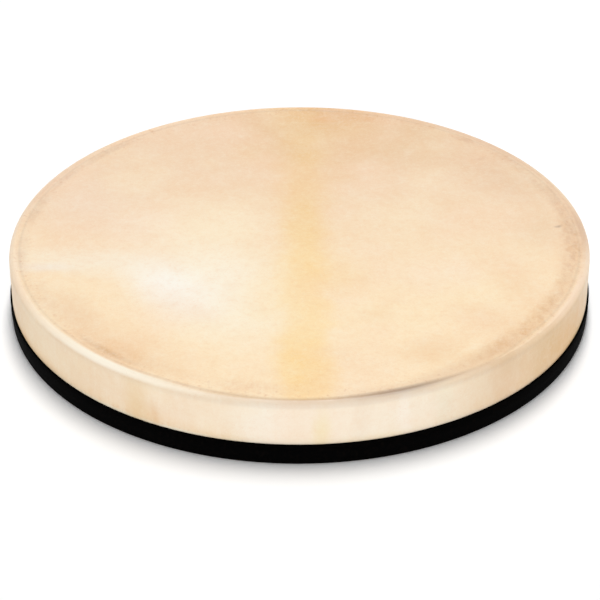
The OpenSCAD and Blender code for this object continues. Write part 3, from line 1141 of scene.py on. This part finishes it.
@dataclass
class GoatskinHead:
    """The upper head: one goatskin, stretched wet over the hoop and down its side to a hem under the band.

    The groove is where the skin creases deepest inside its edge: groove_at and groove_w are its place and
    half width as shares of the crease's width, and it fades out between the two distances of groove_reach.
    The play is the stretch above the band over which the skirt comes loose from the hoop.
    """

    tacks: TackRow
    thickness: float = 0.8 * MM
    dish: float = 0.4 * MM
    crease_w: float = 2.4 * MM
    slack: float = 0.16 * MM
    slack_w: float = 52 * MM
    groove: float = 0.30 * MM
    groove_at: float = 0.62
    groove_w: float = 0.55
    groove_bearing: float = 22.0
    groove_reach: Flat = (0.04, 0.13)
    ripple: float = 0.045 * MM
    ripple_w: float = 16 * MM
    play: Flat = (1 * MM, 8 * MM)
    bearings: int = 360
    head_rings: int = 24
    edge_rings: int = 12
    crease_rings: int = 8
    skirt_rings: int = 14
    crisp: float = 50.0
    seed: float = 3.7
    finish: Goatskin = Goatskin("goatskin", Slot.GOATSKIN)

    def path(self, depth: float) -> Section:
        """Gives the half section of a face of the skin.

        Args:
            depth: How deep below the outer face it lies.

        Returns:
            The points from the axis over the edge to the hem.
        """
        top, outer = SKIN.top - depth, SKIN.radius - depth
        flat_r = CREST_R - self.crease_w
        head = [(r, top - self.dish) for r in spread(0.0, flat_r, self.head_rings)][:-1]
        crease = [(flat_r + self.crease_w * s, top - self.dish * (1 + math.cos(math.pi * s)) / 2)
                  for s in spread(0.0, 1.0, self.crease_rings)[:-1]]
        lip = arc((CREST_R, SKIN.top - LIP_R), LIP_R - depth, 90, 0, self.edge_rings)
        skirt = [(outer, z) for z in spread(SKIN.top - LIP_R, SKIN.low, self.skirt_rings)][1:]
        return head + crease + lip + skirt

    def settled(self, blank: Mesh, finish: Material) -> Mesh:
        """Lets the turned blank sag and ripple as a skin does that has dried on its hoop.

        Args:
            blank: The even, turned skin.
            finish: Its material.

        Returns:
            The uneven skin.
        """
        growth = Growth("dried_skin", finish, **{
            "Slack": self.slack,
            "Slack Width": self.slack_w,
            "Ripple": self.ripple,
            "Ripple Width": self.ripple_w,
            "Groove": self.groove,
            "Seed": self.seed})
        net = growth.net
        place = net.out("GeometryNodeInputPosition")
        height, flat = net.parts(place)["Z"], net.flat(place)
        radius = net.length(flat)
        on_head = net.ramp(radius, CREST_R - 6 * self.crease_w, CREST_R - self.crease_w, 1.0, 0.0)
        sag = net.times(net.times(self.unevenness(growth, flat, "Slack Width"), growth["Slack"]), on_head)
        away = net.vector("DISTANCE", flat, at_bearing(self.groove_bearing, CREST_R, 0.0)).outputs["Value"]
        depth = net.times(growth["Groove"], net.ramp(away, *self.groove_reach, 0.7, 0.0))
        groove_r = CREST_R - self.groove_at * self.crease_w
        cut = net.times(net.ridge(radius, groove_r, self.groove_w * self.crease_w), depth)
        cut = net.times(cut, net.ramp(height, SKIN.top - 3 * MM, SKIN.top - 2 * MM))
        loose, free = (BAND.top + play for play in self.play)
        free = net.times(net.ramp(height, loose, free),
                         net.ramp(radius, SKIN.radius - 0.5 * LIP_R, SKIN.radius - 0.3 * LIP_R))
        drawn = net.scaled(place, 1.0, 1.0, 0.4)
        wave = net.times(self.unevenness(growth, drawn, "Ripple Width"), net.times(growth["Ripple"], free))
        away_from_hoop = net.vector("SCALE", net.vector("NORMALIZE", flat).outputs[0])
        net.put(away_from_hoop.inputs["Scale"], wave)
        up = net.joined(Z=net.minus(sag, cut))
        shift = net.vector("ADD", up, away_from_hoop.outputs[0]).outputs[0]
        growth.close(net.out("GeometryNodeSetPosition", {"Geometry": growth["Carrier"], "Offset": shift}))
        return growth.run(blank)

    def unevenness(self, growth: Growth, place: Value, width: str) -> Socket:
        """Gives a cloudy unevenness.

        Args:
            growth: The tree it belongs to.
            place: The coordinates it reads.
            width: The label of the input that holds the clouds' width.

        Returns:
            The unevenness, from about -1 to 1.
        """
        net = growth.net
        fineness = net.math("DIVIDE", 1.0, growth[width])
        inputs = {"Vector": place, "W": growth["Seed"], "Scale": fineness, "Detail": 2.0}
        cloud = net.out("ShaderNodeTexNoise", inputs, noise_dimensions="4D")
        return net.math("MULTIPLY_ADD", cloud, 2.0, -1.0)

    def pierced(self, skin: Mesh) -> Mesh:
        """Cuts the seats of the tacks' heads and the holes of their shanks.

        Args:
            skin: The whole skin.

        Returns:
            The cut skin.
        """
        holder, cutter = linked("skin", skin), linked("cutter", self.tacks.seats())
        cut = holder.modifiers.new("seats", "BOOLEAN")
        cut.object, cut.operation, cut.solver = cutter, "DIFFERENCE", "EXACT"
        mesh = plain_mesh(holder)
        bpy.data.objects.remove(cutter)
        return mesh

    def build(self) -> list[Object]:
        """Makes the goatskin.

        Returns:
            The skin, as one piece.
        """
        finish = self.finish.material()
        blank = turned("skin_blank", self.path(0.0) + self.path(self.thickness)[::-1], self.bearings)
        mesh = dressed(self.pierced(self.settled(blank, finish)), finish)
        return [piece("goatskin", mesh, self.crisp, "drum", self.finish.slot, "goatskin_head")]


@dataclass
class FilmHead:
    """The lower head: clear film over the hoop's lower edge, through which the shot is seen."""

    thickness: float = 0.3 * MM
    foot_r: float = 1.5 * MM
    bearings: int = 240
    face_rings: int = 12
    foot_rings: int = 8
    skirt_rings: int = 3
    crisp: float = 50.0
    finish: ClearFilm = ClearFilm("clear_film", Slot.CLEAR_FILM)

    def path(self, depth: float) -> Section:
        """Gives the half section of a face of the film.

        Args:
            depth: How deep inside the outer face it lies.

        Returns:
            The points from the axis round the foot to the hem.
        """
        flat_r = FILM.radius - self.foot_r
        face = [(r, depth) for r in spread(0.0, flat_r, self.face_rings)][:-1]
        foot = arc((flat_r, self.foot_r), self.foot_r - depth, -90, 0, self.foot_rings)
        skirt = [(FILM.radius - depth, z) for z in spread(self.foot_r, FILM.top, self.skirt_rings)][1:]
        return face + foot + skirt

    def build(self) -> list[Object]:
        """Makes the film, as one piece."""
        mesh = turned("film", self.path(0.0) + self.path(self.thickness)[::-1], self.bearings)
        return [piece("clear_film_head", dressed(mesh, self.finish.material()), self.crisp, "drum",
                      self.finish.slot, "film_head")]


@dataclass
class TrimBand:
    """The matt black band over the goatskin's hem and the film's skirt; its ends meet at the back."""

    gap: float = 0.4 * MM
    joint_bearing: float = 180.0
    edge_r: float = 0.4 * MM
    edge_steps: int = 5
    steps: int = 720
    crisp: float = 30.0
    finish: BlackTrim = BlackTrim("black_trim", Slot.TRIM)

    def section(self) -> Section:
        """Gives the band's closed section: down the skin, in over both hems and down the film.

        Returns:
            The points as radius and height, with small rounds on the outer edges.
        """
        low, top, r, outer = BAND.low, BAND.top, self.edge_r, BAND.radius
        skin, film = SKIN.radius + GLUE, FILM.radius + GLUE
        foot = outer - skin + film
        upper = arc((outer - r, top - r), r, 90, 0, self.edge_steps)
        lower = arc((foot - r, low + r), r, 0, -90, self.edge_steps)
        step = [(outer, SKIN.low), (foot, FILM.top)]
        return [(skin, SKIN.low), (skin, top), *upper, *step, *lower, (film, low), (film, FILM.top)]

    def build(self) -> list[Object]:
        """Sweeps the section round the drum.

        Returns:
            The band, as one piece.
        """
        shape = bmesh.new()
        corners = [shape.verts.new((r - SKIN.radius, -z, 0.0)) for r, z in self.section()]
        for i, corner in enumerate(corners):
            shape.edges.new((corners[i - 1], corner))
        gap_turn = self.gap / SKIN.radius
        start = math.radians(self.joint_bearing - 90) + gap_turn / 2
        growth = Growth("band_sweep", self.finish.material(), Radius=SKIN.radius, Start=start,
                        Sweep=math.tau - gap_turn, Steps=self.steps + 1)
        net = growth.net
        route = net.out("GeometryNodeCurveArc", {
            "Resolution": growth["Steps"],
            "Radius": growth["Radius"],
            "Start Angle": growth["Start"],
            "Sweep Angle": growth["Sweep"]})
        section = net.out("GeometryNodeMeshToCurve", {0: growth["Carrier"]})
        swept = net.out("GeometryNodeCurveToMesh", {
            "Curve": route,
            "Profile Curve": section,
            "Fill Caps": True})
        growth.close(net.out("GeometryNodeFlipFaces", {"Mesh": swept}))
        mesh = growth.run(meshed("band_section", shape))
        return [piece("black_band", mesh, self.crisp, "drum", self.finish.slot, "trim_band")]


@dataclass
class Shot:
    """The loose steel shot, in groups that roll by different lengths."""

    nodes: tuple[str, ...]
    bead_r: float = 2.5 * MM
    facets: int = 2
    seed: int = 11
    merge: float = 0.001 * MM
    finish: Steel = Steel("shot_steel", Slot.SHOT_STEEL)

    def centres(self, node: str) -> list[Vector]:
        """Finds where the frame holds the beads of a group.

        Args:
            node: The group's node.

        Returns:
            The centre of each bead.
        """
        shape = bmesh.new()
        shape.from_mesh(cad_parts[node].data)
        bmesh.ops.remove_doubles(shape, verts=shape.verts, dist=self.merge)
        found, left = [], set(shape.verts)
        while left:
            bead, edge = set(), [min(left, key=lambda v: v.index)]
            while edge:
                corner = edge.pop()
                if corner in bead:
                    continue
                bead.add(corner)
                edge.extend(link.other_vert(corner) for link in corner.link_edges)
            left -= bead
            ends = [[pick(v.co[axis] for v in bead) for axis in range(3)] for pick in (min, max)]
            found.append((Vector(ends[0]) + Vector(ends[1])) / 2)
        shape.free()
        return found

    def growth(self, finish: Material) -> Growth:
        """Makes the tree that sets a bead on each point.

        Args:
            finish: The beads' material.

        Returns:
            The tree.
        """
        growth = Growth("loose_shot", finish, Radius=self.bead_r, Facets=self.facets, Seed=self.seed)
        net = growth.net
        ball = net.out("GeometryNodeMeshIcoSphere", {
            "Radius": growth["Radius"],
            "Subdivisions": growth["Facets"]})
        turns = net.out("FunctionNodeRandomValue", {
            "Min": (0.0, 0.0, 0.0),
            "Max": (math.tau, math.tau, math.tau),
            "Seed": growth["Seed"]}, data_type="FLOAT_VECTOR")
        growth.close(net.out("GeometryNodeInstanceOnPoints", {
            "Points": growth["Carrier"],
            "Instance": ball,
            "Rotation": turns}))
        return growth

    def build(self) -> list[Object]:
        """Makes each group's beads.

        Returns:
            One piece for each group.
        """
        growth = self.growth(self.finish.material())
        made = []
        for node in self.nodes:
            points = bpy.data.meshes.new(node + "_places")
            points.from_pydata([tuple(c) for c in self.centres(node)], [], [])
            name = node.replace("beads", "shot").replace("bead", "shot")
            made.append(piece(name, growth.run(points), 0.0, node, self.finish.slot, node))
        return made


@dataclass(frozen=True)
class Lamp:
    """One soft lamp of the studio, aimed at the drum; its level is how bright it makes a white facing it."""

    name: str
    at: Point
    size: Flat
    level: float


@dataclass
class Studio:
    """The pale floor, the soft lamps, the white surround and the camera at the photograph's angle."""

    floor_half: float = 12.0
    floor_drop: float = 0.2 * MM
    floor_finish: PaleFloor = PaleFloor("pale_floor")
    daylight: float = 0.15
    bounce: float = 1.14
    camera_at: Point = (0.00035, -1.5588, 0.9760)
    camera_pitch: float = 57.767
    camera_roll: float = -0.194
    lens: float = 126.20
    lamps: tuple[Lamp, ...] = (
        Lamp("top", (0.12, 1.3, 6.0), (0.9, 5.2), 0.79),
        Lamp("front", (0.6, -6.0, 0.9), (3.0, 3.0), 0.23))

    def floor(self) -> Object:
        """Makes the floor, which only the camera sees: it casts no shadow and no light on the drum.

        Returns:
            The floor.
        """
        shape = bmesh.new()
        bmesh.ops.create_grid(shape, x_segments=1, y_segments=1, size=self.floor_half,
                              matrix=Matrix.Translation((0.0, 0.0, -self.floor_drop)))
        floor = linked("floor", dressed(meshed("floor", shape), self.floor_finish.material()))
        for ray in ("diffuse", "glossy", "transmission", "shadow"):
            setattr(floor, "visible_" + ray, False)
        return floor

    def surround(self) -> None:
        """Lights the studio from above, more low down as off a pale floor, and is white in reflections."""
        world = bpy.data.worlds.new("white_surround")
        bpy.context.scene.world = world
        world.use_nodes = True
        net = Net(world.node_tree)
        rise = net.parts(net.add("ShaderNodeTexCoord").outputs["Generated"])["Z"]
        soft = net.ramp(rise, -0.05, 0.5, self.bounce, self.daylight)
        strength = net.plus(soft, net.times(net.seen(), net.minus(1.0, soft)))
        sky = net.out("ShaderNodeBackground", {"Color": (1.0, 1.0, 1.0), "Strength": strength})
        net.add("ShaderNodeOutputWorld", {"Surface": sky})

    def light(self, lamp: Lamp) -> Object:
        """Hangs one lamp.

        Args:
            lamp: What it is like.

        Returns:
            The lamp's object.
        """
        data = bpy.data.lights.new(lamp.name, "AREA")
        way = Vector(lamp.at)
        data.shape, (data.size, data.size_y) = "ELLIPSE", lamp.size
        data.energy = lamp.level * math.pi ** 2 * way.length_squared
        made = linked(lamp.name, data)
        made.location, made.rotation_euler = way, way.to_track_quat("Z", "Y").to_euler()
        return made

    def camera(self) -> Object:
        """Sets up the camera.

        Returns:
            The camera's object.
        """
        data = bpy.data.cameras.new("camera")
        data.lens = self.lens
        made = linked("camera", data)
        pitch = Matrix.Rotation(math.radians(self.camera_pitch), 4, "X")
        roll = Matrix.Rotation(math.radians(self.camera_roll), 4, "Z")
        made.location, made.rotation_euler = self.camera_at, (pitch @ roll).to_euler()
        bpy.context.scene.camera = made
        return made

    def build(self) -> list[Object]:
        """Sets up the studio.

        Returns:
            The camera, the floor and the lamps.
        """
        bpy.context.scene.view_settings.view_transform = "Standard"
        self.surround()
        return [self.camera(), self.floor(), *[self.light(lamp) for lamp in self.lamps]]


def main() -> None:
    """Builds the drum piece by piece, and the studio round it."""
    logging.basicConfig(level=logging.INFO, format="%(name)s: %(message)s")
    tacks = TackRow()
    shot = Shot(tuple(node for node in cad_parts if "bead" in node))
    for assembly in (Studio(), Hoop(), tacks, GoatskinHead(tacks), FilmHead(), TrimBand(), shot):
        for made in assembly.build():
            faces = len(made.data.polygons) if made.type == "MESH" else 0
            LOG.info("%s: %s, %d faces", type(assembly).__name__, made.name, faces)


if __name__ == "__main__":
    main()
